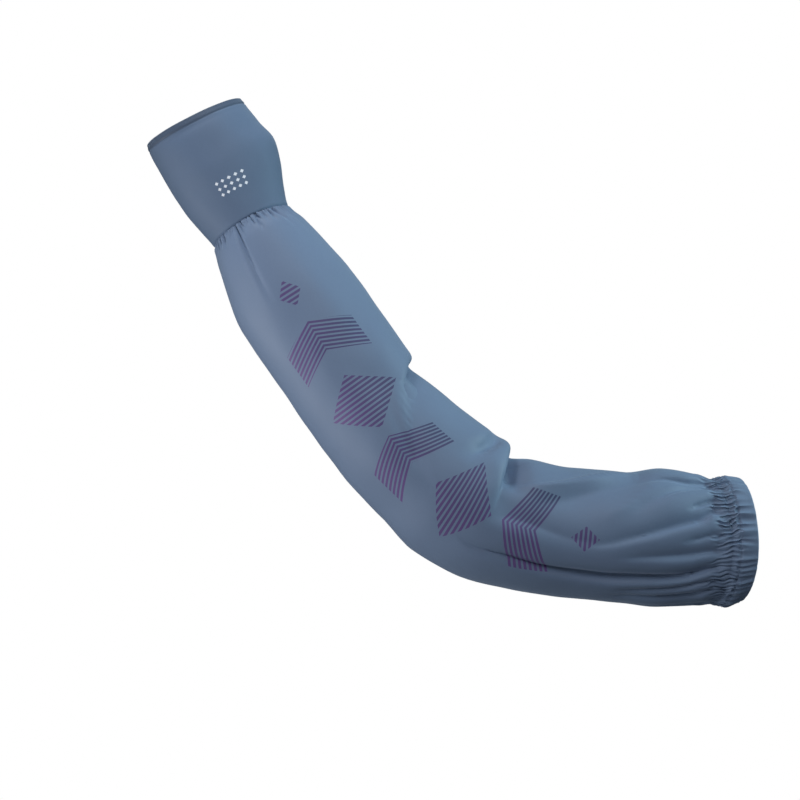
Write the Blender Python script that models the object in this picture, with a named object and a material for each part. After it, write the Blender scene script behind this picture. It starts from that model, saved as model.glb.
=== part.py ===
# Arm protector: a loose over-sleeve for one bent arm, in three sewn pieces.
# A stretch cuff grips the upper arm, a loose sleeve hangs from it round the elbow,
# and an elastic hem gathers the sleeve in at the wrist.
# Metres, +Z up. The origin is the middle of the cuff's mouth, where the arm goes in.
# The arm lies in the XZ plane: the hand points along +X, and the outer face looks along -Y.

import math
from collections import namedtuple

import bmesh
import bpy

# Lengths along the middle of the arm
CUFF_LENGTH = 0.083
UPPER_ARM_LENGTH = 0.170
ELBOW_LENGTH = 0.150
FOREARM_LENGTH = 0.101
HEM_LENGTH = 0.019

# The cuff's slope below the level at its mouth, and how far each stretch turns up from it
CUFF_SLOPE = 63.0
CUFF_TURN = 3.0
UPPER_ARM_TURN = 7.0
ELBOW_TURN = 47.0
FOREARM_TURN = 5.0

# Widths across the arm, in the plane of its bend
CUFF_WIDTH = 0.0760
SEAM_WIDTH = 0.0598
SLEEVE_WIDTH = 0.0920
ELBOW_WIDTH = 0.1010
FOREARM_WIDTH = 0.0910
WRIST_WIDTH = 0.0880
MOUTH_WIDTH = 0.0900

# Walls of cloth: single for the sleeve, a thicker knit for the cuff, folded over elastic for the hem
SLEEVE_WALL = 0.0012
CUFF_WALL = 0.0016
HEM_WALL = 0.0024
SEWN_GAP = 0.0003

# Relief of the cloth
CREASE_DEPTH = 0.0090
FOLD_DEPTH = 0.0045
SEAM_GATHER_DEPTH = 0.0013
SEAM_GATHER_LENGTH = 0.026
WRIST_GATHER_DEPTH = 0.0012
WRIST_GATHER_LENGTH = 0.030
GATHERS = 18
SEGMENTS_PER_GATHER = 4

# Stretches of the arm's middle line, each an arc, from the cuff's mouth to the hem's
Stretch = namedtuple("Stretch", "name length turn")
STRETCHES = (
    Stretch("cuff", CUFF_LENGTH, CUFF_TURN),
    Stretch("upper arm", UPPER_ARM_LENGTH, UPPER_ARM_TURN),
    Stretch("elbow", ELBOW_LENGTH, ELBOW_TURN),
    Stretch("forearm", FOREARM_LENGTH, FOREARM_TURN),
    Stretch("hem", HEM_LENGTH, 0.0),
)

# Sections across the arm. share is the place along the stretch. inner, the side that the elbow
# closes, and outer are shares of half the width, depth of the whole width, and lean is how far
# the outer face runs on towards the hand, as a share of the width.
Section = namedtuple("Section", "stretch share width inner outer depth lean")
SECTIONS = (
    Section("cuff", 0.00, CUFF_WIDTH, 0.99, 1.00, 0.89, 0.045),
    Section("cuff", 0.24, CUFF_WIDTH, 1.06, 0.98, 0.91, 0.035),
    Section("cuff", 0.42, CUFF_WIDTH, 1.15, 0.97, 0.90, 0.020),
    Section("cuff", 0.62, CUFF_WIDTH, 1.06, 0.94, 0.85, 0.000),
    Section("cuff", 0.85, CUFF_WIDTH, 0.87, 0.85, 0.77, -0.025),
    Section("upper arm", 0.00, SEAM_WIDTH, 0.99, 1.01, 0.94, -0.040),
    Section("upper arm", 0.08, SLEEVE_WIDTH, 0.76, 0.74, 0.73, -0.025),
    Section("upper arm", 0.20, SLEEVE_WIDTH, 0.87, 0.84, 0.81, -0.015),
    Section("upper arm", 0.36, SLEEVE_WIDTH, 0.96, 0.93, 0.86, 0.000),
    Section("upper arm", 0.62, SLEEVE_WIDTH, 1.00, 0.93, 0.88, 0.000),
    Section("upper arm", 0.82, SLEEVE_WIDTH, 1.01, 0.95, 0.88, 0.000),
    Section("elbow", 0.00, ELBOW_WIDTH, 0.94, 0.85, 0.81, 0.000),
    Section("elbow", 0.25, ELBOW_WIDTH, 0.98, 0.87, 0.82, 0.000),
    Section("elbow", 0.42, ELBOW_WIDTH, 1.00, 0.99, 0.83, 0.000),
    Section("elbow", 0.55, ELBOW_WIDTH, 1.01, 1.00, 0.83, 0.000),
    Section("elbow", 0.78, ELBOW_WIDTH, 0.92, 0.94, 0.79, 0.010),
    Section("forearm", 0.00, FOREARM_WIDTH, 0.98, 1.01, 0.85, 0.020),
    Section("forearm", 0.36, FOREARM_WIDTH, 0.98, 1.01, 0.84, 0.035),
    Section("forearm", 0.64, FOREARM_WIDTH, 1.10, 1.03, 0.82, 0.050),
    Section("forearm", 0.88, WRIST_WIDTH, 1.08, 1.03, 0.79, 0.065),
    Section("hem", 0.00, WRIST_WIDTH, 0.98, 0.99, 0.74, 0.080),
    Section("hem", 0.40, MOUTH_WIDTH, 1.02, 1.01, 0.76, 0.080),
    Section("hem", 1.00, MOUTH_WIDTH, 1.00, 0.93, 0.75, 0.070),
)

# Creases across the inside of the bend, where the cloth of one stretch rolls over the next.
# front and back are the angles, from the inner side, at which the crease dies out on each face.
# drift, steep, soft and lip are shares of the crease's depth: how far it runs on towards the hand
# as it goes round, its near and far flanks, and how far the roll hangs over it.
Crease = namedtuple("Crease", "stretch share depth front back drift steep soft lip")
CREASES = (
    Crease("upper arm", 0.842, 0.75, 62, 80, 1.6, 0.62, 2.9, 0.20),
    Crease("elbow", 0.560, 1.10, 84, 100, -1.2, 0.60, 3.2, 0.35),
)

# Folds along the arm from the elastic hem. wrist and end are angles round the arm from its inner
# side: 90 is the outer face, 180 the elbow's side and 270 the face against the body.
# reach is a share of the forearm's length, depth of the fold depth, and width is in degrees.
Fold = namedtuple("Fold", "wrist end reach depth width")
FOLDS = (
    Fold(34, 60, 0.80, 1.10, 9),
    Fold(66, 92, 1.15, 0.80, 10),
    Fold(103, 104, 0.75, 0.60, 8),
    Fold(116, 124, 2.00, 1.25, 9),
    Fold(135, 140, 0.85, 0.95, 8),
    Fold(153, 151, 0.75, 0.70, 8),
    Fold(196, 190, 1.30, 0.90, 10),
    Fold(221, 232, 0.90, 0.80, 9),
    Fold(247, 240, 1.60, 1.10, 10),
    Fold(283, 271, 1.00, 0.90, 9),
    Fold(318, 300, 1.25, 1.10, 10),
    Fold(345, 352, 0.50, 0.80, 8),
)

# Where the rings of vertices stand between the ends of each piece, as shares of each stretch:
# close where the cloth is gathered or creased, and wide apart where it is plain
RINGS = {
    "cuff": (0.14, 0.28, 0.42, 0.60, 0.81),
    "upper arm": (0.03, 0.07, 0.12, 0.20, 0.32, 0.48, 0.64, 0.75, 0.81, 0.85, 0.92),
    "elbow": (0.02, 0.16, 0.31, 0.43, 0.51, 0.56, 0.62, 0.70, 0.81, 0.93),
    "forearm": (0.10, 0.30, 0.50, 0.66, 0.80, 0.90),
    "hem": (0.25, 0.50, 0.75),
}


def start_of(name):
    """Distance from the cuff's mouth to the start of a stretch."""
    before = 0.0
    for stretch in STRETCHES:
        if stretch.name == name:
            return before
        before += stretch.length
    raise ValueError(name)


def along(name, share):
    """Distance from the cuff's mouth to a share of a stretch."""
    length = next(s.length for s in STRETCHES if s.name == name)
    return start_of(name) + share * length


def middle_line(distance):
    """x, z and slope in radians of the arm's middle line at a distance from the cuff's mouth."""
    x = z = 0.0
    slope = math.radians(CUFF_SLOPE)
    for stretch in STRETCHES:
        run = min(distance, stretch.length)
        if stretch.turn:
            bend = math.radians(stretch.turn) / stretch.length
            next_slope = slope - bend * run
            x += (math.sin(slope) - math.sin(next_slope)) / bend
            z -= (math.cos(next_slope) - math.cos(slope)) / bend
            slope = next_slope
        else:
            x += run * math.cos(slope)
            z -= run * math.sin(slope)
        distance -= run
        if distance <= 0:
            break
    return x, z, slope


def smooth_through(places, values, at):
    """A smooth curve through the values at their places that doesn't overshoot, read at one place."""
    if at <= places[0]:
        return values[0]
    if at >= places[-1]:
        return values[-1]
    steps = [b - a for a, b in zip(places, places[1:])]
    rises = [(b - a) / step for a, b, step in zip(values, values[1:], steps)]

    def tangent(i):
        if i == 0 or i == len(steps) or rises[i - 1] * rises[i] <= 0:
            return 0.0
        return 2 * rises[i - 1] * rises[i] / (rises[i - 1] + rises[i])

    i = max(k for k in range(len(steps)) if places[k] <= at)
    t = (at - places[i]) / steps[i]
    return (
        (2 * t**3 - 3 * t**2 + 1) * values[i]
        + (t**3 - 2 * t**2 + t) * steps[i] * tangent(i)
        + (3 * t**2 - 2 * t**3) * values[i + 1]
        + (t**3 - t**2) * steps[i] * tangent(i + 1)
    )


SECTION_PLACES = [along(s.stretch, s.share) for s in SECTIONS]
SECTION_SIZES = {
    "inner": [s.inner * s.width / 2 for s in SECTIONS],
    "outer": [s.outer * s.width / 2 for s in SECTIONS],
    "depth": [s.depth * s.width / 2 for s in SECTIONS],
    "lean": [s.lean * s.width for s in SECTIONS],
}


def section_at(distance):
    """Inner, outer and depth radii and lean of the section at a distance from the cuff's mouth."""
    return [smooth_through(SECTION_PLACES, sizes, distance) for sizes in SECTION_SIZES.values()]


def ease(t):
    """0 at t = 0 and below, 1 at t = 1 and above, with a smooth rise between."""
    t = min(1.0, max(0.0, t))
    return t * t * (3 - 2 * t)


def angle_between(a, b):
    """The difference between two angles in degrees, from -180 to 180."""
    return (a - b + 180) % 360 - 180


def crease_relief(distance, angle):
    """How far the creases draw the cloth in at a point, and how far they push it on."""
    drawn_in = pushed_on = 0.0
    from_inner = angle_between(angle, 0)
    for crease in CREASES:
        reach = crease.front if from_inner >= 0 else crease.back
        strength = crease.depth * CREASE_DEPTH * (1 - ease(abs(from_inner) / reach))
        turned = abs(math.radians(from_inner))
        place = along(crease.stretch, crease.share) + crease.drift * turned * CREASE_DEPTH
        before = distance - place
        flank = (crease.steep if before < 0 else crease.soft) * CREASE_DEPTH
        drawn_in += strength * math.exp(-((before / flank) ** 2))
        roll = math.exp(-(((before + flank) / flank) ** 2)) if before < 0 else 0.0
        pushed_on += strength * crease.lip * roll
    return drawn_in, pushed_on


def fold_relief(distance, angle):
    """How far the folds that run up from the hem draw the cloth in at a point."""
    from_wrist = start_of("hem") - distance
    relief = 0.0
    for fold in FOLDS:
        share = from_wrist / (fold.reach * FOREARM_LENGTH)
        if 0 <= share < 1:
            middle = fold.wrist + (fold.end - fold.wrist) * ease(share)
            across = angle_between(angle, middle) / (fold.width * (1 + 0.6 * share))
            strength = ease(share / 0.12) * (1 - ease((share - 0.35) / 0.65))
            relief += fold.depth * FOLD_DEPTH * strength * math.exp(-(across**2))
    return relief


def gather_relief(distance, angle):
    """The pleats below the cuff's seam and on both sides of the hem's stitching."""
    wave = math.cos(math.radians(angle * GATHERS))
    from_seam = distance - start_of("upper arm")
    from_stitching = start_of("hem") - distance
    relief = 0.0
    if 0 < from_seam < SEAM_GATHER_LENGTH:
        share = from_seam / SEAM_GATHER_LENGTH
        relief += SEAM_GATHER_DEPTH * ease(share / 0.2) * (1 - ease(share))
    if from_stitching >= 0:
        relief += WRIST_GATHER_DEPTH * (1 - ease(from_stitching / WRIST_GATHER_LENGTH))
    else:
        relief += WRIST_GATHER_DEPTH * (1 + 0.6 * from_stitching / HEM_LENGTH)
    return relief * wave


def on_cloth(distance, angle):
    """The point of the outer surface at a distance from the mouth and an angle round the arm."""
    inner, outer, depth, lean = section_at(distance)
    turn = math.radians(angle)
    across = (inner if math.cos(turn) > 0 else outer) * math.cos(turn)
    towards_front = depth * math.sin(turn)
    drawn_in, pushed_on = crease_relief(distance, angle)
    drawn_in += fold_relief(distance, angle) + gather_relief(distance, angle)
    facing = math.hypot(depth * math.cos(turn), (inner + outer) / 2 * math.sin(turn))
    across -= drawn_in * depth * math.cos(turn) / facing
    towards_front -= drawn_in * (inner + outer) / 2 * math.sin(turn) / facing
    x, z, slope = middle_line(distance)
    on = lean * math.sin(turn) + pushed_on
    return (
        x + on * math.cos(slope) + across * math.sin(slope),
        -towards_front,
        z - on * math.sin(slope) + across * math.cos(slope),
    )


def cloth_tube(name, stretches, start, end, wall, material):
    """A flat panel rolled round the arm, sewn edge to edge and given its wall inwards."""
    distances = [start, *(along(s, share) for s in stretches for share in RINGS[s]), end]
    mesh = bmesh.new()
    around, lengthwise = GATHERS * SEGMENTS_PER_GATHER, len(distances) - 1
    bmesh.ops.create_grid(mesh, x_segments=around, y_segments=lengthwise, size=1.0)
    for vertex in mesh.verts:
        angle = -90 + (vertex.co.x + 1) * 180
        ring = round((vertex.co.y + 1) / 2 * lengthwise)
        vertex.co = on_cloth(distances[ring], angle)
    bmesh.ops.remove_doubles(mesh, verts=mesh.verts, dist=1e-5)
    bmesh.ops.recalc_face_normals(mesh, faces=mesh.faces)
    data = bpy.data.meshes.new(name)
    mesh.to_mesh(data)
    mesh.free()
    data.shade_smooth()
    tube = bpy.data.objects.new(name, data)
    bpy.context.scene.collection.objects.link(tube)
    data.materials.append(material)
    thick = tube.modifiers.new("wall", "SOLIDIFY")
    thick.thickness = wall
    thick.offset = -1
    return tube


def cloth_material(name, colour, roughness):
    material = bpy.data.materials.new(name)
    material.use_nodes = True
    shader = material.node_tree.nodes["Principled BSDF"]
    shader.inputs["Base Color"].default_value = (*colour, 1.0)
    shader.inputs["Roughness"].default_value = roughness
    shader.inputs["Metallic"].default_value = 0.0
    return material


def upper_cuff():
    cloth = cloth_material("cuff_knit", (0.115, 0.180, 0.300), 0.60)
    return cloth_tube("upper_cuff", ["cuff"], 0.0, CUFF_LENGTH, CUFF_WALL, cloth)


def sleeve_body():
    cloth = cloth_material("sleeve_cloth", (0.130, 0.190, 0.310), 0.50)
    start = start_of("upper arm") + SEWN_GAP
    end = start_of("hem") - SEWN_GAP / 2
    stretches = ["upper arm", "elbow", "forearm"]
    return cloth_tube("sleeve_body", stretches, start, end, SLEEVE_WALL, cloth)


def wrist_hem():
    cloth = cloth_material("hem_cloth", (0.090, 0.135, 0.225), 0.55)
    start = start_of("hem") + SEWN_GAP / 2
    end = start_of("hem") + HEM_LENGTH
    return cloth_tube("wrist_hem", ["hem"], start, end, HEM_WALL, cloth)


def main():
    for thing in list(bpy.data.objects):
        bpy.data.objects.remove(thing)
    protector = bpy.data.objects.new("arm_protector", None)
    bpy.context.scene.collection.objects.link(protector)
    for piece in (upper_cuff(), sleeve_body(), wrist_hem()):
        piece.parent = protector


main()
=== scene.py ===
import math
import random

import bmesh
import bpy
import numpy as np
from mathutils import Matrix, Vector, noise


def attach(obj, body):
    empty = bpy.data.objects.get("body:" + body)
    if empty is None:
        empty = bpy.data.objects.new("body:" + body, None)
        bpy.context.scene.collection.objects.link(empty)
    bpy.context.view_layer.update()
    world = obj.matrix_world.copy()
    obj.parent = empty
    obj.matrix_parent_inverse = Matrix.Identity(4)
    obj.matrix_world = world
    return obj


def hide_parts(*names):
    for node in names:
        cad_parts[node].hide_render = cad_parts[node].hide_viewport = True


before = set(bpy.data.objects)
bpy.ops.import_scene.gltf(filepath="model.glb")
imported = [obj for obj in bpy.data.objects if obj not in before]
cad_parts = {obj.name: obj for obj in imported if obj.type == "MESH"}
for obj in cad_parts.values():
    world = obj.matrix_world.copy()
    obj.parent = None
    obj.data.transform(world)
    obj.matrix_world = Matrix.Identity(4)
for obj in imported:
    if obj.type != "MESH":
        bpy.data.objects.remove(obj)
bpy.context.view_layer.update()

# A loose over-sleeve worn on a bent arm: a stretch cuff, a gathered sleeve and an elastic hem.
# Lengths are in metres, angles in degrees. A place on the cloth is its distance along the arm from
# the cuff's mouth, and its angle round the arm: 0 inside the bend, 90 in front, 180 at the elbow.

arm = {
    "cuffSlope": 63.0,
    "stretches": (  # name, length, turn
        ("cuff", 0.083, 3.0),
        ("upper arm", 0.170, 7.0),
        ("elbow", 0.150, 47.0),
        ("forearm", 0.101, 5.0),
        ("hem", 0.019, 0.0),
    ),
}

widths = {
    "cuff": 0.0760,
    "seam": 0.0598,
    "sleeve": 0.0920,
    "elbow": 0.1010,
    "forearm": 0.0910,
    "wrist": 0.0880,
    "mouth": 0.0900,
}

# stretch, share along it, width, then inner and outer radius as shares of half the width,
# depth and lean towards the hand as shares of the width
sections = (
    ("cuff", 0.00, "cuff", 0.99, 1.00, 0.89, 0.045),
    ("cuff", 0.24, "cuff", 1.06, 0.98, 0.91, 0.035),
    ("cuff", 0.42, "cuff", 1.16, 0.97, 0.90, 0.020),
    ("cuff", 0.62, "cuff", 1.06, 0.94, 0.85, 0.000),
    ("cuff", 0.85, "cuff", 0.87, 0.85, 0.77, -0.025),
    ("upper arm", 0.00, "seam", 0.99, 1.01, 0.94, -0.040),
    ("upper arm", 0.08, "sleeve", 0.76, 0.74, 0.73, -0.025),
    ("upper arm", 0.20, "sleeve", 0.87, 0.84, 0.81, -0.015),
    ("upper arm", 0.36, "sleeve", 0.96, 0.93, 0.86, 0.000),
    ("upper arm", 0.62, "sleeve", 1.00, 0.93, 0.88, 0.000),
    ("upper arm", 0.82, "sleeve", 1.01, 0.95, 0.88, 0.000),
    ("elbow", 0.00, "elbow", 0.94, 0.85, 0.81, 0.000),
    ("elbow", 0.25, "elbow", 0.98, 0.87, 0.82, 0.000),
    ("elbow", 0.42, "elbow", 1.00, 0.99, 0.83, 0.000),
    ("elbow", 0.55, "elbow", 1.01, 1.00, 0.83, 0.000),
    ("elbow", 0.78, "elbow", 0.92, 0.94, 0.79, 0.010),
    ("forearm", 0.00, "forearm", 0.98, 1.01, 0.85, 0.020),
    ("forearm", 0.36, "forearm", 0.98, 1.01, 0.84, 0.035),
    ("forearm", 0.64, "forearm", 1.10, 1.03, 0.82, 0.050),
    ("forearm", 0.88, "wrist", 1.08, 1.03, 0.79, 0.065),
    ("hem", 0.00, "wrist", 0.98, 0.99, 0.74, 0.080),
    ("hem", 0.40, "mouth", 1.02, 1.01, 0.76, 0.080),
    ("hem", 1.00, "mouth", 1.00, 0.93, 0.75, 0.070),
)


def startOf(name):
    before = 0.0
    for stretch, length, _ in arm["stretches"]:
        if stretch == name:
            return before
        before += length


def along(name, share):
    return startOf(name) + share * next(s[1] for s in arm["stretches"] if s[0] == name)


def middleLine(distance):
    # x, z and slope of the arm's middle line; past either end it runs on straight
    x, z, slope = 0.0, 0.0, math.radians(arm["cuffSlope"])
    for _, length, turn in arm["stretches"]:
        run = min(distance, length)
        bend = math.radians(turn) / length
        after = slope - bend * max(run, 0.0)
        if bend and run > 0:
            x += (math.sin(slope) - math.sin(after)) / bend
            z -= (math.cos(after) - math.cos(slope)) / bend
        else:
            x += run * math.cos(slope)
            z -= run * math.sin(slope)
        slope = after
        distance -= run
        if distance <= 0:
            return x, z, slope
    return x + distance * math.cos(slope), z - distance * math.sin(slope), slope


def smoothThrough(places, values, at):
    # a curve through the values that doesn't overshoot them, read at an array of places
    places, values = np.asarray(places, float), np.asarray(values, float)
    steps = np.diff(places)
    rises = np.diff(values) / steps
    before, after = rises[:-1], rises[1:]
    same = before * after > 0
    inner = np.where(same, 2 * before * after / np.where(same, before + after, 1.0), 0.0)
    tangents = np.concatenate([[0.0], inner, [0.0]])
    at = np.clip(at, places[0], places[-1])
    i = np.clip(np.searchsorted(places, at, side="right") - 1, 0, len(steps) - 1)
    t = (at - places[i]) / steps[i]
    return (
        (2 * t**3 - 3 * t**2 + 1) * values[i]
        + (t**3 - 2 * t**2 + t) * steps[i] * tangents[i]
        + (3 * t**2 - 2 * t**3) * values[i + 1]
        + (t**3 - t**2) * steps[i] * tangents[i + 1]
    )


def ease(t):
    t = np.clip(t, 0.0, 1.0)
    return t * t * (3 - 2 * t)


def hump(t):
    return np.exp(-np.square(t))


def turnFrom(angle, middle):
    return (angle - middle + 180) % 360 - 180


# Creases that run round the arm inside its bend, where the cloth above rolls over the cloth below.
# path gives the crease's distance at angles round the arm, strength its share of the depth there,
# and lip how far the roll hangs over it.
elbowCreases = (
    {
        "path": (
            (-90, 0.232), (-40, 0.228), (0, 0.226), (21, 0.227),
            (40, 0.233), (52, 0.240), (69, 0.257), (82, 0.273),
        ),
        "strength": (
            (-80, 0.0), (-40, 0.5), (0, 1.0), (21, 1.0), (38, 0.72),
            (52, 0.42), (69, 0.24), (88, 0.12), (104, 0.0),
        ),
        "depth": 0.0070,
        "nearFlank": 0.0036,
        "farFlank": 0.0200,
        "lip": 0.0020,
    },
    {
        "path": ((-40, 0.230), (0, 0.228), (21, 0.229), (40, 0.235), (60, 0.249)),
        "strength": ((-20, 0.0), (12, 0.4), (24, 1.0), (40, 0.8), (58, 0.0)),
        "depth": 0.0030,
        "nearFlank": 0.0022,
        "farFlank": 0.0052,
        "lip": 0.0,
    },
    {
        "path": (
            (-110, 0.320), (-60, 0.331), (0, 0.340), (30, 0.341),
            (54, 0.343), (66, 0.345), (82, 0.346), (100, 0.342),
        ),
        "strength": (
            (-105, 0.0), (-50, 0.65), (0, 1.0), (34, 1.0), (50, 0.86),
            (60, 0.58), (70, 0.30), (84, 0.12), (100, 0.0),
        ),
        "depth": 0.0100,
        "nearFlank": 0.0046,
        "farFlank": 0.0170,
        "lip": 0.0040,
    },
    {
        "path": ((-20, 0.342), (30, 0.344), (54, 0.346), (66, 0.348)),
        "strength": ((4, 0.0), (22, 1.0), (48, 1.0), (66, 0.0)),
        "depth": 0.0058,
        "nearFlank": 0.0032,
        "farFlank": 0.0115,
        "lip": 0.0,
    },
    {
        "path": ((-24, 0.326), (10, 0.325), (22, 0.324), (38, 0.319), (52, 0.313), (70, 0.306)),
        "strength": ((-16, 0.0), (6, 0.6), (22, 1.0), (38, 1.0), (52, 0.45), (66, 0.0)),
        "depth": 0.0050,
        "nearFlank": 0.0085,
        "farFlank": 0.0052,
        "lip": 0.0,
    },
)

# the roll of cloth above a crease, in shares of its near flank
roll = {"middle": 1.0, "width": 0.9, "rise": 0.7}


def reliefOfCreases(distance, angle):
    drawnIn, pushedOn = 0.0, 0.0
    turned = turnFrom(angle, 0)
    for crease in elbowCreases:
        place = smoothThrough(*zip(*crease["path"]), turned)
        strength = smoothThrough(*zip(*crease["strength"]), turned)
        past = distance - place
        flank = np.where(past < 0, crease["nearFlank"], crease["farFlank"])
        drawnIn = drawnIn + crease["depth"] * strength * hump(past / flank)
        before = -past / crease["nearFlank"]
        hanging = hump((before - roll["middle"]) / roll["width"]) * ease(before / roll["rise"])
        pushedOn = pushedOn + crease["lip"] * strength * hanging
    return drawnIn, pushedOn


# Folds that run along the forearm. Each has its path as distance, angle and depth in millimetres,
# and the width in degrees of its slope on the side of the smaller angle and on the other side.
# A depth below 0 makes a crest.
armFolds = (
    (((0.438, 28, 0), (0.460, 26, 2.8), (0.480, 24, 5.0), (0.498, 18, 4.8)), 2.8, 8.0),
    (((0.435, 64, 0), (0.450, 55, 1.4), (0.465, 45, 3.0), (0.480, 36, 4.6), (0.498, 29, 4.4)), 8.5, 2.4),
    (((0.475, 60, 0), (0.485, 55, 2.2), (0.498, 48, 2.8)), 3.0, 2.4),
    (
        ((0.405, 97, 0), (0.420, 94, 1.2), (0.445, 84, 3.4), (0.470, 74, 4.8), (0.485, 68, 5.2),
         (0.496, 60, 4.2)),
        9.0, 2.2,
    ),
    (
        ((0.340, 93, 0), (0.355, 87, 2.0), (0.370, 85, 2.5), (0.390, 89, 2.2), (0.405, 92, 1.5),
         (0.425, 92, 0)),
        14.0, 7.0,
    ),
    (((0.470, 88, 0), (0.482, 85, 1.8), (0.494, 81, 2.4)), 3.4, 2.4),
    (((0.425, 106, 0), (0.445, 103, 1.8), (0.460, 101, 3.4), (0.475, 99, 4.2), (0.495, 95, 3.8)), 8.0, 3.0),
    (
        ((0.328, 117, 0), (0.345, 119, 2.4), (0.360, 119, 4.6), (0.380, 122, 6.4), (0.400, 125, 7.8),
         (0.425, 127, 9.2), (0.450, 125, 10.0), (0.475, 121, 9.0), (0.498, 111, 4.4)),
        7.0, 2.2,
    ),
    (((0.430, 140, 0), (0.445, 138, 2.2), (0.455, 136, 3.6), (0.475, 132, 4.4), (0.495, 125, 3.0)), 4.2, 2.4),
    (((0.425, 150, 0), (0.445, 147, 2.2), (0.465, 145, 3.6), (0.485, 142, 4.2), (0.498, 136, 2.4)), 5.0, 2.8),
    (((0.440, 172, 0), (0.460, 168, 1.6), (0.482, 166, 2.6), (0.498, 164, 2.2)), 4.5, 3.0),
    (((0.370, 190, 0), (0.400, 192, 1.8), (0.450, 197, 3.6), (0.485, 198, 3.8), (0.498, 200, 2.6)), 4.5, 7.0),
    (((0.455, 214, 0), (0.475, 212, 2.0), (0.498, 216, 2.4)), 3.4, 4.4),
    (((0.385, 240, 0), (0.420, 238, 2.4), (0.460, 234, 3.8), (0.498, 230, 3.0)), 3.4, 8.0),
    (((0.335, 243, 0), (0.370, 246, 2.0), (0.420, 250, 3.8), (0.470, 253, 4.6), (0.498, 254, 3.4)), 3.4, 8.5),
    (((0.450, 268, 0), (0.475, 270, 2.2), (0.498, 272, 2.6)), 3.0, 3.8),
    (((0.380, 272, 0), (0.420, 278, 2.4), (0.465, 286, 3.8), (0.498, 290, 3.0)), 3.2, 8.0),
    (((0.375, 296, 0), (0.415, 302, 2.4), (0.460, 312, 4.0), (0.498, 318, 3.0)), 3.2, 8.5),
    (((0.445, 346, 0), (0.470, 342, 2.0), (0.498, 338, 2.6)), 3.6, 5.0),
    (
        ((0.352, 57, 0), (0.370, 50, -3.6), (0.390, 41, -5.2), (0.410, 31, -4.8), (0.430, 16, -2.4),
         (0.446, 4, 0)),
        3.4, 8.0,
    ),
    (
        ((0.362, 70, 0), (0.385, 60, 2.8), (0.405, 49, 4.0), (0.425, 37, 3.6), (0.445, 25, 2.0),
         (0.455, 20, 0)),
        9.0, 16.0,
    ),
    (
        ((0.415, 72, 0), (0.425, 65, -1.0), (0.435, 57, -1.6), (0.445, 43, -1.6), (0.457, 33, -1.0),
         (0.465, 28, 0)),
        5.0, 7.0,
    ),
)

foldForm = {
    "fadeFrom": 0.0095,  # before the hem
    "fadeOver": 0.0085,
    "blunt": 0.02,  # how round the bottom of a fold is
    "flare": 0.56,  # below 1 its slopes run out softly
}


def reliefOfFolds(distance, angle):
    # each fold is a sharp crease with a soft slope into it and a steep one out of it
    drawnIn = 0.0
    fade = 1 - ease((distance - startOf("hem") + foldForm["fadeFrom"]) / foldForm["fadeOver"])
    for path, before, after in armFolds:
        places, middles, depths = zip(*path)
        middle = smoothThrough(places, middles, distance)
        depth = smoothThrough(places, depths, distance) * 0.001 * fade * (distance > places[0])
        across = turnFrom(angle, middle)
        share = np.where(across < 0, -across / before, across / after)
        drawnIn = drawnIn + depth * np.exp(-np.power(share * share + foldForm["blunt"], foldForm["flare"]))
    return drawnIn


# Soft dents, as hollows (depth above 0) or swells: distance, angle, length, width in degrees, slant
# in degrees for each metre towards the hand, depth
softDents = (
    (0.026, 84, 0.011, 14, 0, 0.0010),
    (0.052, 118, 0.016, 12, -300, 0.0007),
    (0.048, 40, 0.014, 12, 200, -0.0006),
    (0.118, 128, 0.026, 12, 0, 0.0008),
    (0.150, 66, 0.034, 13, -160, -0.0010),
    (0.186, 112, 0.040, 14, 120, 0.0010),
    (0.205, 45, 0.014, 18, 0, -0.0012),
    (0.214, 76, 0.016, 12, -500, 0.0010),
    (0.268, 82, 0.028, 5, 350, 0.0012),
    (0.290, 140, 0.040, 18, 0, 0.0010),
    (0.309, 30, 0.0070, 16, -1000, -0.0014),
    (0.331, 50, 0.0070, 11, 0, -0.0010),
    (0.352, 80, 0.017, 11, 0, 0.0014),
    (0.300, 236, 0.034, 16, 200, 0.0022),
    (0.352, 262, 0.030, 14, -150, 0.0026),
    (0.240, 280, 0.030, 16, 0, 0.0014),
    (0.180, 230, 0.040, 16, 150, 0.0014),
)


def reliefOfDents(distance, angle):
    drawnIn = 0.0
    for place, middle, length, width, slant, depth in softDents:
        past = distance - place
        across = turnFrom(angle, middle) - slant * past
        drawnIn = drawnIn + depth * hump(past / length) * hump(across / width)
    return drawnIn


ruffles = {
    "seed": 11,
    "count": 44,  # under the cuff's seam
    "jitter": 0.38,  # of the distance between two
    "shortOnes": 1.6,  # above 1, more of them are short than long
    "depth": (0.0005, 0.0019),
    "reach": (0.004, 0.016),
    "width": (1.1, 2.2),  # in degrees
    "drift": (-3, 3),  # degrees from one end to the other
    "deeper": 1.35,  # a factor for the depths here and in seamGathers
    "narrower": 0.86,  # and one for the widths
    "start": 0.0012,
    "fanOut": 0.8,
    "swellBeside": (0.35, 1.9, 0.9),  # height, place and width, in shares of the gather's own
}

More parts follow.
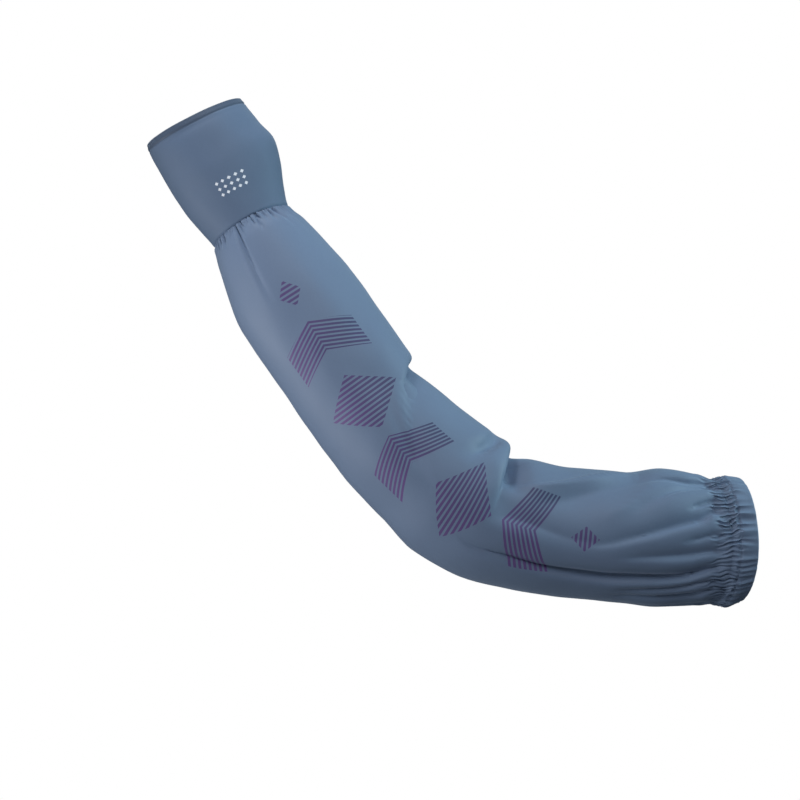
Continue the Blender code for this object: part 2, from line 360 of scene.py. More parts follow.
# The gathers that show most under the cuff's seam: angle, reach, depth, width, drift in degrees
seamGathers = (
    (106, 0.064, 0.0019, 2.3, 2.0),
    (98, 0.009, 0.0022, 1.8, -2.0),
    (88, 0.006, 0.0016, 1.4, 1.0),
    (84, 0.012, 0.0016, 1.7, -3.0),
    (75, 0.009, 0.0022, 1.7, -4.0),
    (69, 0.010, 0.0014, 1.6, -3.0),
    (61, 0.006, 0.0014, 1.5, 0.0),
    (53, 0.010, 0.0021, 1.9, -6.0),
    (49, 0.024, 0.0016, 2.4, -9.0),
    (115, 0.008, 0.0014, 1.7, 2.0),
    (129, 0.012, 0.0018, 2.0, 2.0),
    (137, 0.008, 0.0016, 1.8, 2.0),
    (30, 0.026, 0.0012, 3.0, -4.0),
    (214, 0.040, 0.0018, 2.6, 4.0),
    (247, 0.055, 0.0020, 2.6, -3.0),
    (283, 0.035, 0.0017, 2.4, 3.0),
    (318, 0.028, 0.0015, 2.6, -5.0),
)


def reliefOfRuffles(distance, angle):
    # short gathers that fan out below the cuff's seam
    draw = random.Random(ruffles["seed"])
    shallow, deep = ruffles["depth"]
    near, far = ruffles["reach"]
    rows = []
    for i in range(ruffles["count"]):
        middle = (i + draw.uniform(-ruffles["jitter"], ruffles["jitter"])) * 360 / ruffles["count"]
        size = draw.random() ** ruffles["shortOnes"]
        reach, depth = near + (far - near) * size, shallow + (deep - shallow) * size
        rows.append((middle, reach, depth, draw.uniform(*ruffles["width"]), draw.uniform(*ruffles["drift"])))
    past = distance - startOf("upper arm")
    height, place, spread = ruffles["swellBeside"]
    drawnIn = 0.0
    for middle, reach, depth, width, drift in (*rows, *seamGathers):
        share = past / reach
        run = np.clip(share, 0, 1)
        widening = width * ruffles["narrower"] * (1 + ruffles["fanOut"] * run)
        across = turnFrom(angle, middle + drift * run) / widening
        strength = np.where(past > 0, ease(past / ruffles["start"]) * (1 - ease(share)), 0.0)
        valley = hump(across) - height * hump((across - place) / spread)
        drawnIn = drawnIn + depth * ruffles["deeper"] * strength * valley
    return drawnIn


pleats = {
    "seed": 5,
    "count": 86,  # round the arm, where the elastic draws in the sleeve
    "depth": (0.0007, 0.0026),
    "narrow": 0.22,  # half the width of a pleat's valley, as a share of the pitch
    "swellBeside": (0.42, 0.62),  # height and half the width
    "reachUp": (0.010, 0.021),  # from the hem's joint into the sleeve
    "reachShare": (0.45, 1.0),  # how much of that a pleat has
    "reachDown": (0.0042, 0.0092),  # from the joint into the hem
    "fadeFrom": 0.45,  # share of its reach
    "fanOut": (0.8, 0.5),  # how much wider it gets, and from which share of its reach
    "lean": -330.0,  # degrees for each metre towards the hand, on the front
    "leanAllRound": 0.35,  # share of the lean that doesn't change round the arm
    "wander": 0.42,
    "waves": ((0.5, 5, 330), (0.35, 13, -520)),  # height, times round the arm, radians for each metre
    "shift": 0.16,  # to either side, as a share of the pitch
    "sway": (0.13, 640),  # share of the pitch, radians for each metre
    "swayStart": (0, 6.28),  # radians
    "inside": 0.0016,  # how far in the deepest pleats push the inner face
    "insideUp": (0.024, 0.010),  # where that starts before the joint, and over what distance
    "insideDown": (0.004, 0.008),  # where it ends after the joint
}


def reliefOfPleats(distance, angle):
    # sharp S-shaped pleats side by side, some of them longer than others
    draw = random.Random(pleats["seed"])
    count = pleats["count"]
    rows = []
    for _ in range(count):
        depth = draw.uniform(*pleats["depth"])
        up = draw.uniform(*pleats["reachUp"]) * draw.uniform(*pleats["reachShare"])
        down = draw.uniform(*pleats["reachDown"])
        rows.append((depth, up, down, draw.uniform(-1, 1), draw.uniform(*pleats["swayStart"])))
    off = distance - startOf("hem")
    allRound = pleats["leanAllRound"]
    lean = pleats["lean"] * off * (allRound + (1 - allRound) * np.sin(np.radians(angle)))
    slow = 0.0
    for height, times, rate in pleats["waves"]:
        slow = slow + height * np.sin(np.radians(angle * times) + off * rate)
    phase = (angle - lean) * count / 360 + pleats["wander"] * slow
    sway, rate = pleats["sway"]
    wider, widerFrom = pleats["fanOut"]
    height, halfWidth = pleats["swellBeside"]
    drawnIn = 0.0
    for i, (depth, up, down, shift, turn) in enumerate(rows):
        across = (phase - i + count / 2) % count - count / 2
        across = across - pleats["shift"] * shift - sway * np.sin(off * rate + turn)
        share = np.where(off < 0, -off / up, off / down)
        strength = 1 - ease((share - pleats["fadeFrom"]) / (1 - pleats["fadeFrom"]))
        spread = 1 + wider * np.clip(share - widerFrom, 0, 1)
        valley = hump(across / (pleats["narrow"] * spread)) - height * hump(across / halfWidth)
        drawnIn = drawnIn + depth * strength * valley
    return drawnIn


def insideOfPleats(distance):
    # how far in the deepest pleats reach
    off = distance - startOf("hem")
    (start, rise), (end, fall) = pleats["insideUp"], pleats["insideDown"]
    return pleats["inside"] * ease((off + start) / rise) * (1 - ease((off - end) / fall))


hemLine = 0.0056  # from the joint to the row of stitches in the hem

frill = {
    "seed": 23,
    "count": 76,  # soft wrinkles from the stitches to the hem's rim
    "jitter": 0.42,
    "depth": (0.0003, 0.0019),
    "width": (1.4, 2.8),  # in degrees
    "reach": (0.008, 0.022),
    "lean": (-140, 60),  # degrees for each metre
    "leanInside": -160,  # more lean inside the bend and less at the elbow
    "start": 0.0026,
    "fanOut": 0.5,
    "fade": 0.86,
    "swellBeside": (0.5, 1.7, 1.1),
    "line": (0.0003, 0.0006),  # depth and half the width of the line that the stitches pull in
    "fuller": (0.0003, 0.003),  # how much the hem stands out, and over what distance
}


def reliefOfFrill(distance, angle):
    # the wrinkles past the stitches, which fade towards the rim
    draw = random.Random(frill["seed"])
    past = distance - startOf("hem") - hemLine
    run = np.clip(past, 0, 1)
    shallow, deep = frill["depth"]
    height, place, spread = frill["swellBeside"]
    drawnIn = 0.0
    for i in range(frill["count"]):
        middle = (i + draw.uniform(-frill["jitter"], frill["jitter"])) * 360 / frill["count"]
        depth = shallow + (deep - shallow) * draw.random()
        width = draw.uniform(*frill["width"])
        reach = draw.uniform(*frill["reach"])
        lean = draw.uniform(*frill["lean"]) + frill["leanInside"] * math.cos(math.radians(middle))
        share = run / reach
        across = turnFrom(angle, middle + lean * run) / (width * (1 + frill["fanOut"] * np.clip(share, 0, 1)))
        strength = ease((past + frill["start"]) / frill["start"]) * (1 - ease(share) * frill["fade"])
        valley = hump(across) - height * hump((across - place) / spread)
        drawnIn = drawnIn + depth * strength * valley
    (line, halfWidth), (fuller, over) = frill["line"], frill["fuller"]
    return drawnIn + line * hump(past / halfWidth) - fuller * ease((past + hemLine) / over)


rim = {
    "band": 0.0040,
    "tilt": 0.0010,
    "sewn": (0.0005, 0.0007),  # depth and half the width of the line that it is sewn along
    "hollow": 0.0009,  # under the band
    "hollowPlace": (0.0062, 0.0030),  # middle and half the width along the arm
    "hollowFront": (105, 36),  # middle and half the width round the arm
    "hollowAllRound": 0.25,
    "rounding": (0.0013, 0.0008),  # of the cuff's edge at the seam
    # painted shade on the turned rim: how strongly it darkens the cloth, and the shade's colour
    "paintedShade": 0.56,
    "dark": (0.022, 0.032, 0.056),
    "paintedShadeTo": (0.0049, 0.0012),  # where the painted shade on the rim ends, and how softly
}


def reliefOfCuff(distance, angle):
    # a flat turned rim that leans in, the line it is sewn along, and a round edge at the seam
    depth, halfWidth = rim["sewn"]
    tilt = rim["tilt"] * (1 - ease(distance / rim["band"]))
    sewn = depth * hump((distance - rim["band"]) / halfWidth)
    (middle, spread), (frontMiddle, frontSpread) = rim["hollowPlace"], rim["hollowFront"]
    allRound = rim["hollowAllRound"]
    front = allRound + (1 - allRound) * hump(turnFrom(angle, frontMiddle) / frontSpread)
    under = rim["hollow"] * front * hump((distance - middle) / spread)
    drop, bluntness = rim["rounding"]
    return tilt + sewn + under + drop * hump((startOf("upper arm") - distance) / bluntness)


def roughness(x, y, z, scale, seed):
    return noise.noise(Vector((x * scale + seed, y * scale, z * scale)))


def clothPoints(distances, angles, relief):
    # the outer face of the cloth at every distance along the arm and angle round it
    distances = np.asarray(distances, float)
    distance, angle = distances[:, None], np.asarray(angles, float)[None, :]
    places = [along(row[0], row[1]) for row in sections]
    half = [widths[row[2]] / 2 for row in sections]
    inner = smoothThrough(places, [row[3] * h for row, h in zip(sections, half)], distance)
    outer = smoothThrough(places, [row[4] * h for row, h in zip(sections, half)], distance)
    depth = smoothThrough(places, [row[5] * h for row, h in zip(sections, half)], distance)
    lean = smoothThrough(places, [row[6] * 2 * h for row, h in zip(sections, half)], distance)
    x, z, slope = (np.array(v)[:, None] for v in zip(*(middleLine(d) for d in distances)))
    turn = np.radians(angle)
    across = np.where(np.cos(turn) > 0, inner, outer) * np.cos(turn)
    towards = depth * np.sin(turn)
    drawnIn, pushedOn = relief(distance, angle)
    facing = np.hypot(depth * np.cos(turn), (inner + outer) / 2 * np.sin(turn))
    across = across - drawnIn * depth * np.cos(turn) / facing
    towards = towards - drawnIn * (inner + outer) / 2 * np.sin(turn) / facing
    on = lean * np.sin(turn) + pushedOn
    middleX, middleZ = x + on * np.cos(slope), z - on * np.sin(slope)
    return np.stack((middleX + across * np.sin(slope), -towards, middleZ + across * np.cos(slope)), axis=-1)


def outwardOf(points):
    # unit vectors out of the cloth and along the arm, from the neighbours of each point
    alongArm = np.gradient(points, axis=0)
    roundArm = np.roll(points, -1, axis=1) - np.roll(points, 1, axis=1)
    outward = np.cross(alongArm, roundArm)
    outward /= np.linalg.norm(outward, axis=-1, keepdims=True)
    alongArm /= np.linalg.norm(alongArm, axis=-1, keepdims=True)
    centre = points.mean(axis=1, keepdims=True)
    if np.sum((points - centre) * outward) < 0:
        outward = -outward
    return outward, alongArm


def soften(points, outward, amounts):
    # uneven cloth: slow swells and small ripples that close on themselves round the arm
    for scale, height, seed in amounts:
        lift = np.array([[roughness(*p, scale, seed) for p in row] for row in points.tolist()])
        points = points + outward * (lift * height)[..., None]
    return points


patternStart = 270.0  # the angle where each cloth's pattern starts, behind the arm
patternGirth = {"cuffCloth": 0.230, "sleeveCloth": 0.310, "hemCloth": 0.310}


def rollCloth(name, distances, cloth, relief, inside):
    # one tube of cloth with an outer face, a smoother inner face, and edges at both ends; where a
    # distance lies in its fineEnds there are twice as many points round it
    around, wall, edges, fineEnds = cloth["around"], cloth["wall"], cloth["edges"], cloth["fineEnds"]
    columns = around * 2 if fineEnds else around
    angles = patternStart + np.arange(columns) * 360 / columns
    outer = clothPoints(distances, angles, relief)
    outer = soften(outer, outwardOf(outer)[0], cloth["swells"])
    alongArm = outwardOf(outer)[1]
    lining = clothPoints(distances, angles, inside)
    lining = soften(lining, outwardOf(lining)[0], cloth["swells"])
    lining = lining - outwardOf(lining)[0] * wall
    turns = [math.pi * k / (edges + 1) for k in range(1, edges + 1)]

    def edgeRows(row, way):
        for turn in turns:
            sunk = (lining[row] - outer[row]) * (1 - math.cos(turn)) / 2
            out = alongArm[row] * (way * cloth["bulges"][way > 0] * wall / 2 * math.sin(turn))
            yield outer[row] + sunk + out

    last = len(distances) - 1
    innerRows = sorted({0, last, *range(0, last, cloth["innerStep"])})
    rows = [*outer, *edgeRows(last, 1)]
    rows += [lining[r] for r in reversed(innerRows)]
    rows += list(edgeRows(0, -1))[::-1]
    rows = np.array([*rows, rows[0]])
    places = [*distances, *[distances[-1]] * edges]
    places += [distances[r] for r in reversed(innerRows)]
    places += [distances[0]] * (edges + 1)

    mesh = bmesh.new()
    mesh.loops.layers.uv.new("flat")
    lengthwise = len(rows) - 1
    bmesh.ops.create_grid(mesh, x_segments=around, y_segments=lengthwise, size=1.0, calc_uvs=True)

    def rowOf(vertex):
        return round((vertex.co.y + 1) / 2 * lengthwise)

    if fineEnds:
        outerRows = [*range(last + edges + 1), lengthwise]
        fineRows = {r for r in outerRows if any(a - 1e-6 <= places[r] <= b + 1e-6 for a, b in fineEnds)}
        split = []
        for edge in mesh.edges:
            first, second = (rowOf(vertex) for vertex in edge.verts)
            if first == second and first in fineRows:
                split.append(edge)
        bmesh.ops.subdivide_edges(mesh, edges=split, cuts=1, use_grid_fill=True, use_single_edge=True)
    uv = mesh.loops.layers.uv["flat"]
    girth = patternGirth[name]
    for face in mesh.faces:
        for loop in face.loops:
            loop[uv].uv = ((loop.vert.co.x + 1) / 2 * girth, places[rowOf(loop.vert)])
    for vertex in mesh.verts:
        column = round((vertex.co.x + 1) / 2 * columns) % columns
        vertex.co = rows[rowOf(vertex)][column]
    bmesh.ops.remove_doubles(mesh, verts=mesh.verts, dist=1e-7)
    bmesh.ops.recalc_face_normals(mesh, faces=mesh.faces)
    return pieceFrom(mesh, name)


def pieceFrom(mesh, name):
    data = bpy.data.meshes.new(name)
    mesh.to_mesh(data)
    mesh.free()
    data.shade_smooth()
    piece = bpy.data.objects.new(name, data)
    bpy.context.scene.collection.objects.link(piece)
    return piece


def spaced(*runs):
    # distances along the arm: each run is its end and the spacing up to it
    distances = [runs[0]]
    for end, gap in runs[1:]:
        count = max(1, round((end - distances[-1]) / gap))
        start = distances[-1]
        distances += [start + (end - start) * k / count for k in range(1, count + 1)]
    return distances


print("camera and light")

view = {
    "metresPerPixel": 0.0007,
    "mouthPixel": (195.0, 123.0),  # where the middle of the cuff's mouth shows
    "middlePixel": 400.0,
    "distance": 0.9333,
    "lens": 60.0,
    "sensor": 36.0,
}

studio = {
    "floorHeight": -0.62,
    "floorMiddle": 0.15,
    "floorRadius": 9.0,
    "floorBounce": (0.19, 0.19, 0.21, 1),
    "floorRoughness": 0.9,
    "ambient": 0.08,
    "ambientColour": (0.93, 0.96, 1.0, 1),
    "lamps": (  # name, power, colour, place, size, target
        ("key", 2.4, (0.93, 0.96, 1.0), (0.20, -0.60, 0.20), 0.46, (-0.12, 0.02, 0.12)),
        ("left", 2.0, (0.94, 0.95, 0.95), (-0.33, -0.17, -0.37), 0.32, (0.12, 0.04, -0.14)),
        ("top", 1.5, (0.92, 0.98, 1.0), (-0.08, -0.13, 0.40), 0.22, (0.36, 0.0, -0.28)),
        ("right", 4.3, (0.68, 0.97, 1.0), (0.92, -0.06, 0.02), 0.34, (0.02, 0.0, 0.04)),
    ),
}


def pointAt(thing, target):
    thing.rotation_euler = (Vector(target) - thing.location).to_track_quat("-Z", "Y").to_euler()


def addCamera():
    scale, mouth, middle = view["metresPerPixel"], view["mouthPixel"], view["middlePixel"]
    lens = bpy.data.cameras.new("camera")
    lens.lens, lens.sensor_width = view["lens"], view["sensor"]
    camera = bpy.data.objects.new("camera", lens)
    camera.location = ((middle - mouth[0]) * scale, -view["distance"], (mouth[1] - middle) * scale)
    camera.rotation_euler = (math.pi / 2, 0, 0)
    bpy.context.scene.collection.objects.link(camera)
    bpy.context.scene.camera = camera


def addLamp(name, power, colour, place, size, target):
    lamp = bpy.data.lights.new(name, "AREA")
    lamp.shape, lamp.size, lamp.energy, lamp.color = "DISK", size, power, colour
    thing = bpy.data.objects.new(name, lamp)
    thing.location = place
    bpy.context.scene.collection.objects.link(thing)
    pointAt(thing, target)


def showToCamera(tree, lighting, shown, output):
    # the surroundings look white, and light the cloth less than white ones would
    path = tree.nodes.new("ShaderNodeLightPath")
    mix = tree.nodes.new("ShaderNodeMixShader")
    tree.links.new(path.outputs["Is Camera Ray"], mix.inputs[0])
    tree.links.new(lighting.outputs[0], mix.inputs[1])
    tree.links.new(shown.outputs[0], mix.inputs[2])
    tree.links.new(mix.outputs[0], output.inputs["Surface"])


def addStudio():
    for lamp in studio["lamps"]:
        addLamp(*lamp)
    mesh = bmesh.new()
    bmesh.ops.create_circle(mesh, cap_ends=True, radius=studio["floorRadius"], segments=96)
    bmesh.ops.translate(mesh, verts=mesh.verts, vec=(studio["floorMiddle"], 0, studio["floorHeight"]))
    floor = pieceFrom(mesh, "floor")
    pale = bpy.data.materials.new("palePaper")
    pale.use_nodes = True
    paper = pale.node_tree.nodes["Principled BSDF"]
    paper.inputs["Base Color"].default_value = studio["floorBounce"]
    paper.inputs["Roughness"].default_value = studio["floorRoughness"]
    glow = pale.node_tree.nodes.new("ShaderNodeEmission")
    showToCamera(pale.node_tree, paper, glow, pale.node_tree.nodes["Material Output"])
    floor.data.materials.append(pale)
    world = bpy.data.worlds.new("studio")
    bpy.context.scene.world = world
    world.use_nodes = True
    lit = world.node_tree.nodes["Background"]
    lit.inputs["Color"].default_value = studio["ambientColour"]
    lit.inputs["Strength"].default_value = studio["ambient"]
    white = world.node_tree.nodes.new("ShaderNodeBackground")
    white.inputs["Color"].default_value = (1, 1, 1, 1)
    showToCamera(world.node_tree, lit, white, world.node_tree.nodes["World Output"])
    bpy.context.scene.view_settings.view_transform = "Standard"


addCamera()
addStudio()


print("cloths")

clothLooks = {
    "sleeve": {
        "light": (0.168, 0.232, 0.352),
        "dark": (0.136, 0.190, 0.300),
        "roughness": 0.56,
        "sheen": 0.30,
        "sheenTint": (0.62, 0.74, 0.92, 1),
        "threads": (0.00052, 0.00052),
        "weave": 0.22,
    },
    "cuff": {
        "light": (0.115, 0.168, 0.266),
        "dark": (0.096, 0.142, 0.228),
        "roughness": 0.62,
        "sheen": 0.25,
        "sheenTint": (0.62, 0.74, 0.92, 1),
        "threads": (0.00075, 0.00058),
        "weave": 0.35,
    },
}

# what the cloths have in common; a scale is in patches for each metre
clothFinish = {
    "blotches": (9.0, 0.8),  # scale, share in the tone
    "grain": (650.0, 0.45),
    "toneOffset": 0.12,
    "fuzz": 900.0,
    "threadHeight": 0.00012,
    "sheenRoughness": 0.45,
    "specular": 0.35,
    "unevenRoughness": 0.10,
}

motifs = {
    "angleOfMiddle": 90.0,
    "start": 0.157,  # distance along the arm of the first big motif
    "pitch": 0.0475,
    "count": 5,
    "halfWidth": 0.031,
    "halfLength": 0.0215,
    "smallPlaces": (0.141, 0.409),
    "smallSize": 0.0095,
    "chevronSlope": 0.62,  # how far a chevron's arms drop, as a share of half its length
    "chevronThickness": 0.56,
    "stripe": 0.0031,
    "stripeSlope": 0.45,
    "ink": 0.56,  # share of each stripe that is printed
    "purple": (0.125, 0.040, 0.205),
    "navy": (0.022, 0.026, 0.088),
    "navyInside": (-14.0, 0.35),  # slope and middle of the change to navy inside the bend
    "navyBlotches": 26.0,
    "cover": 0.80,
}

badge = {
    "place": 0.056,
    "angle": 84.0,
    "pitch": 0.0046,
    "columns": 5,
    "rows": 3,
    "size": 0.30,  # half a lozenge, as a share of the pitch
    "colour": (0.80, 0.83, 0.90),
}

threadLooks = {"light": (0.13, 0.18, 0.28), "dark": (0.07, 0.10, 0.17), "roughness": 0.55, "twist": 1400.0}


class Graph:
    # short names for the nodes of one material

    def __init__(self, name):
        self.material = bpy.data.materials.new(name)
        self.material.use_nodes = True
        self.nodes, self.links = self.material.node_tree.nodes, self.material.node_tree.links
        self.shader = self.nodes["Principled BSDF"]

    def feed(self, socket, value):
        if isinstance(value, bpy.types.NodeSocket):
            self.links.new(value, socket)
        else:
            socket.default_value = value

    def math(self, operation, *values, clamp=False):
        node = self.nodes.new("ShaderNodeMath")
        node.operation, node.use_clamp = operation, clamp
        for socket, value in zip(node.inputs, values):
            self.feed(socket, value)
        return node.outputs[0]

    def product(self, *values):
        result = values[0]
        for value in values[1:]:
            result = self.math("MULTIPLY", result, value)
        return result

    def size(self, value):
        return self.math("ABSOLUTE", value)

    def below(self, value, limit):
        return self.math("LESS_THAN", value, limit)

    def mix(self, factor, first, second):
        node = self.nodes.new("ShaderNodeMix")
        node.data_type = "RGBA"
        self.feed(node.inputs[0], factor)
        self.feed(node.inputs[6], first)
        self.feed(node.inputs[7], second)
        return node.outputs[2]

    def noise(self, vector, scale, detail=2.0):
        node = self.nodes.new("ShaderNodeTexNoise")
        self.feed(node.inputs["Vector"], vector)
        node.inputs["Scale"].default_value = scale
        node.inputs["Detail"].default_value = detail
        return node.outputs["Fac"]

    def flatPlace(self):
        uv = self.nodes.new("ShaderNodeUVMap")
        uv.uv_map = "flat"
        parts = self.nodes.new("ShaderNodeSeparateXYZ")
        self.links.new(uv.outputs[0], parts.inputs[0])
        return parts.outputs[0], parts.outputs[1]

    def inPlace(self):
        return self.nodes.new("ShaderNodeTexCoord").outputs["Object"]


def opaque(colour):
    return (*colour, 1.0)


def patternPlace(angle, name):
    # where an angle round the arm lies across the cloth's pattern
    return (angle - patternStart) % 360 / 360 * patternGirth[name]


def weave(graph, u, v, look):
    # crossing threads, as the height of the cloth
    pitchU, pitchV = look["threads"]
    across = graph.math("SINE", graph.math("MULTIPLY", u, 2 * math.pi / pitchU))
    lengthwise = graph.math("SINE", graph.math("MULTIPLY", v, 2 * math.pi / pitchV))
    fuzz = graph.noise(graph.inPlace(), clothFinish["fuzz"], 3.0)
    return graph.math("ADD", graph.product(across, lengthwise, 0.5), fuzz)


def clothBase(name, look):
    graph = Graph(name)
    u, v = graph.flatPlace()
    place = graph.inPlace()
    (slowScale, slowShare), (fineScale, fineShare) = clothFinish["blotches"], clothFinish["grain"]
    slow = graph.noise(place, slowScale, 3.0)
    fine = graph.noise(place, fineScale)
    tone = graph.math("ADD", graph.product(slow, slowShare), graph.product(fine, fineShare))
    tone = graph.math("SUBTRACT", tone, clothFinish["toneOffset"], clamp=True)
    colour = graph.mix(tone, opaque(look["dark"]), opaque(look["light"]))
    shader = graph.shader
    shader.inputs["Sheen Weight"].default_value = look["sheen"]
    shader.inputs["Sheen Roughness"].default_value = clothFinish["sheenRoughness"]
    shader.inputs["Sheen Tint"].default_value = look["sheenTint"]
    shader.inputs["Specular IOR Level"].default_value = clothFinish["specular"]
    spread = graph.product(graph.math("SUBTRACT", fine, 0.5), clothFinish["unevenRoughness"])
    graph.feed(shader.inputs["Roughness"], graph.math("ADD", spread, look["roughness"]))
    relief = graph.nodes.new("ShaderNodeBump")
    relief.inputs["Strength"].default_value = look["weave"]
    relief.inputs["Distance"].default_value = clothFinish["threadHeight"]
    graph.feed(relief.inputs["Height"], weave(graph, u, v, look))
    graph.feed(shader.inputs["Normal"], relief.outputs[0])
    return graph, u, v, colour


def motifShapes(graph, wide, q):
    # chevrons and lozenges by turns; q runs down the column, wide from its middle to its sides
    cell = graph.math("FLOOR", graph.math("DIVIDE", q, motifs["pitch"]))
    cellMiddle = graph.product(graph.math("ADD", cell, 0.5), motifs["pitch"])
    odd = graph.math("MODULO", graph.size(cell), 2.0)
    down = graph.math("DIVIDE", graph.math("SUBTRACT", q, cellMiddle), motifs["halfLength"])
    lozenge = graph.below(graph.math("ADD", wide, graph.size(down)), 1.0)
    slope = motifs["chevronSlope"]
    dropped = graph.math("SUBTRACT", down, graph.product(wide, slope))
    dropped = graph.math("ADD", dropped, slope / 2)
    chevron = graph.product(
        graph.below(graph.size(dropped), motifs["chevronThickness"]), graph.below(wide, 1.0)
    )
    shape = graph.math(
        "ADD", graph.product(odd, lozenge), graph.product(graph.math("SUBTRACT", 1.0, odd), chevron)
    )
    inColumn = graph.product(
        graph.math("GREATER_THAN", q, 0.0), graph.below(q, motifs["pitch"] * motifs["count"])
    )
    return graph.product(shape, inColumn), odd


def printOn(graph, u, v, colour):
    # a striped column down the front of the sleeve, with a small lozenge at each end
    p = graph.math("SUBTRACT", u, patternPlace(motifs["angleOfMiddle"], "sleeveCloth"))
    q = graph.math("SUBTRACT", v, motifs["start"])
    wide = graph.math("DIVIDE", graph.size(p), motifs["halfWidth"])
    shape, odd = motifShapes(graph, wide, q)
    for place in motifs["smallPlaces"]:
        near = graph.math("ADD", graph.size(p), graph.size(graph.math("SUBTRACT", v, place)))
        shape = graph.math("MAXIMUM", shape, graph.below(near, motifs["smallSize"]))
    slope = motifs["stripeSlope"]
    tilt = graph.product(graph.size(p), graph.math("MULTIPLY_ADD", odd, -slope, slope))
    phase = graph.math("FRACT", graph.math("DIVIDE", graph.math("SUBTRACT", q, tilt), motifs["stripe"]))
    mask = graph.product(shape, graph.below(phase, motifs["ink"]), motifs["cover"])
    inward = graph.math("MULTIPLY_ADD", p, *motifs["navyInside"], clamp=True)
    blotch = graph.math("SUBTRACT", graph.noise(graph.inPlace(), motifs["navyBlotches"]), 0.5)
    turnsNavy = graph.math("ADD", inward, blotch, clamp=True)
    ink = graph.mix(turnsNavy, opaque(motifs["purple"]), opaque(motifs["navy"]))
    return graph.mix(mask, colour, ink)


def badgeAndRimShadeOn(graph, u, v, colour):
    # a small block of pale lozenges near the bottom of the cuff, and painted shade over the turned rim at its
    # mouth
    places = []
    middles = (patternPlace(badge["angle"], "cuffCloth"), badge["place"])
    for value, middle, count in zip((u, v), middles, (badge["columns"], badge["rows"])):
        place = graph.math("DIVIDE", graph.math("SUBTRACT", value, middle), badge["pitch"])
        inCell = graph.math("FRACT", graph.math("ADD", place, 0.5))
        fromMiddle = graph.size(graph.math("SUBTRACT", inCell, 0.5))
        places.append((fromMiddle, graph.below(graph.size(place), count / 2)))
    (across, inColumns), (down, inRows) = places
    mark = graph.product(inColumns, inRows, graph.below(graph.math("ADD", across, down), badge["size"]))
    colour = graph.mix(mark, colour, opaque(badge["colour"]))
    # painted shade: the cloth darkens over the turned rim, fading out just past it
    end, softness = rim["paintedShadeTo"]
    rimShadeShare = graph.math("MULTIPLY_ADD", v, -1 / softness, end / softness, clamp=True)
    return graph.mix(graph.product(rimShadeShare, rim["paintedShade"]), colour, opaque(rim["dark"]))


def sleeveCloth():
    graph, u, v, colour = clothBase("sleeveCloth", clothLooks["sleeve"])
    graph.feed(graph.shader.inputs["Base Color"], printOn(graph, u, v, colour))
    return graph.material


def cuffCloth():
    graph, u, v, colour = clothBase("cuffKnit", clothLooks["cuff"])
    graph.feed(graph.shader.inputs["Base Color"], badgeAndRimShadeOn(graph, u, v, colour))
    return graph.material


def hemCloth():
    graph, u, v, colour = clothBase("hemCloth", clothLooks["sleeve"])
    graph.feed(graph.shader.inputs["Base Color"], colour)
    return graph.material


def threadCloth():
    graph = Graph("thread")
    twist = graph.noise(graph.inPlace(), threadLooks["twist"])
    colour = graph.mix(twist, opaque(threadLooks["dark"]), opaque(threadLooks["light"]))
    graph.feed(graph.shader.inputs["Base Color"], colour)
    graph.shader.inputs["Roughness"].default_value = threadLooks["roughness"]
    return graph.material


print("cuff")

seamStart, hemStart = startOf("upper arm"), startOf("hem")

cuff = {
    "around": 300,
    "wall": 0.0016,
    "swells": ((28, 0.0009, 3.1), (75, 0.00025, 8.2)),  # scale, height, seed
    "rows": ((0.010, 0.0005), (0.076, 0.0020), (seamStart, 0.0007)),  # up to a distance, their spacing
    "innerStep": 2,  # rows of the outer face for each row of the inner one
    "edges": 4,  # rows that round each edge
    "bulges": (1.0, 1.0),  # of the edges, in shares of half the wall
    "fineEnds": (),
}


def cuffRelief(distance, angle):
    return reliefOfCuff(distance, angle) + reliefOfDents(distance, angle), 0.0


cuffPiece = rollCloth("cuffCloth", spaced(0.0, *cuff["rows"]), cuff, cuffRelief, cuffRelief)
cuffPiece.data.materials.append(cuffCloth())

print("sleeve")

sleeve = {
    "around": 400,
    "wall": 0.0012,
    "swells": ((17, 0.0017, 1.7), (48, 0.0005, 5.3)),
    "rows": (  # closest under the seam, at the two rolls inside the elbow and at the hem
        (seamStart + 0.004, 0.0007), (seamStart + 0.022, 0.0016), (0.214, 0.0062), (0.232, 0.0010),
        (0.312, 0.0062), (0.330, 0.0014), (0.346, 0.0008), (0.460, 0.0044), (hemStart - 0.022, 0.0022),
        (hemStart - 0.0001, 0.0009), (hemStart, 0.0001),
    ),
    "innerStep": 4,
    "edges": 1,
    "bulges": (1.0, 0.0),
    "fineEnds": ((seamStart, seamStart + 0.020), (hemStart - 0.022, hemStart)),
    "sewn": (0.0014, 0.0009),  # depth and half the width of the groove along the cuff's seam
    "gathered": (0.0022, 0.006, 0.012),  # how far in the inner face lies, up to where, and its slope
}


def sleeveRelief(distance, angle):
    drawnIn, pushedOn = reliefOfCreases(distance, angle)
    drawnIn = drawnIn + reliefOfFolds(distance, angle) + reliefOfDents(distance, angle)
    drawnIn = drawnIn + reliefOfRuffles(distance, angle) + reliefOfPleats(distance, angle)
    depth, halfWidth = sleeve["sewn"]
    return drawnIn + depth * hump((distance - seamStart) / halfWidth), pushedOn


def sleeveInside(distance, angle):
    drawnIn, _ = reliefOfCreases(distance, angle)
    drawnIn = drawnIn + reliefOfFolds(distance, angle) + reliefOfDents(distance, angle)
    depth, until, slope = sleeve["gathered"]
    gathered = depth * (1 - ease((distance - seamStart - until) / slope))
    return drawnIn + gathered + insideOfPleats(distance), 0.0


sleevePiece = rollCloth(
    "sleeveCloth", spaced(seamStart, *sleeve["rows"]), sleeve, sleeveRelief, sleeveInside
)
sleevePiece.data.materials.append(sleeveCloth())

print("hem")

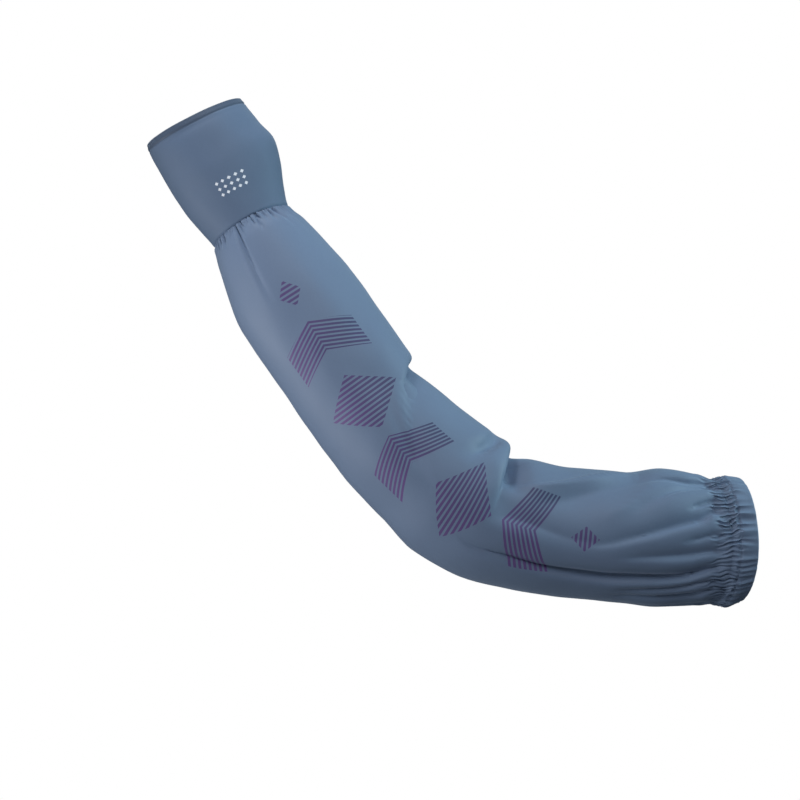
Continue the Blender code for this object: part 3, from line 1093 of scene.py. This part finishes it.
hem = {
    "around": 800,
    "wall": 0.0016,
    "swells": sleeve["swells"],  # the same as the sleeve's, so that the two meet
    "gap": 0.00002,  # to the sleeve
    "rows": ((hemStart + 0.00012, 0.0001), (hemStart + 0.0075, 0.0006), (hemStart + 0.0178, 0.0010)),
    "innerStep": 3,
    "edges": 5,
    "bulges": (0.0, 1.0),
    "fineEnds": (),
    "inside": 0.0006,  # how much further in the inner face lies
}


def hemRelief(distance, angle):
    return reliefOfPleats(distance, angle) + reliefOfFrill(distance, angle), 0.0


def hemInside(distance, angle):
    return insideOfPleats(distance) + hem["inside"], 0.0


hemPiece = rollCloth("hemCloth", spaced(hemStart + hem["gap"], *hem["rows"]), hem, hemRelief, hemInside)
hemPiece.data.materials.append(hemCloth())

print("stitches")

stitches = {
    "length": 0.0022,
    "gap": 0.0010,
    "thickness": 0.00034,
    "raised": 0.15,  # share of the thickness
    "sides": 6,
    "rings": 5,
    "samples": 720,  # points round the arm where the cloth is measured
    "aim": 4,  # how many samples to either side give a stitch its direction
}


def stitchRow(mesh, distance, relief):
    # small threads laid along the cloth, at even steps round it
    samples, aim, thickness = stitches["samples"], stitches["aim"], stitches["thickness"]
    size = (thickness, thickness, stitches["length"])
    angles = np.arange(samples) * 360 / samples
    cloth = clothPoints([distance - 0.001, distance, distance + 0.001], angles, relief)
    line, outward = cloth[1], outwardOf(cloth)[0][1]
    steps = np.linalg.norm(np.roll(line, -1, axis=0) - line, axis=1)
    run = np.concatenate([[0.0], np.cumsum(steps)])
    count = round(run[-1] / (stitches["length"] + stitches["gap"]))
    for k in range(count):
        at = run[-1] * (k + 0.5) / count
        i = int(np.searchsorted(run, at)) % samples
        ahead = line[(i + aim) % samples] - line[(i - aim) % samples]
        made = bmesh.ops.create_uvsphere(
            mesh, u_segments=stitches["sides"], v_segments=stitches["rings"], radius=0.5
        )["verts"]
        bmesh.ops.scale(mesh, verts=made, vec=size)
        turn = Vector(ahead).to_track_quat("Z", "Y").to_matrix()
        bmesh.ops.rotate(mesh, verts=made, matrix=turn, cent=(0, 0, 0))
        bmesh.ops.translate(mesh, verts=made, vec=line[i] + outward[i] * thickness * stitches["raised"])


threads = bmesh.new()
stitchRow(threads, hemStart + hemLine, hemRelief)
threadPiece = pieceFrom(threads, "hemStitches")
threadPiece.data.materials.append(threadCloth())

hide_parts("upper_cuff")
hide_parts("sleeve_body")
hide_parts("wrist_hem")
for piece, slot in (
    (cuffPiece, "cuff_knit"),
    (sleevePiece, "sleeve_cloth"),
    (hemPiece, "hem_cloth"),
    (threadPiece, "hem_cloth"),
):
    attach(piece, "root")
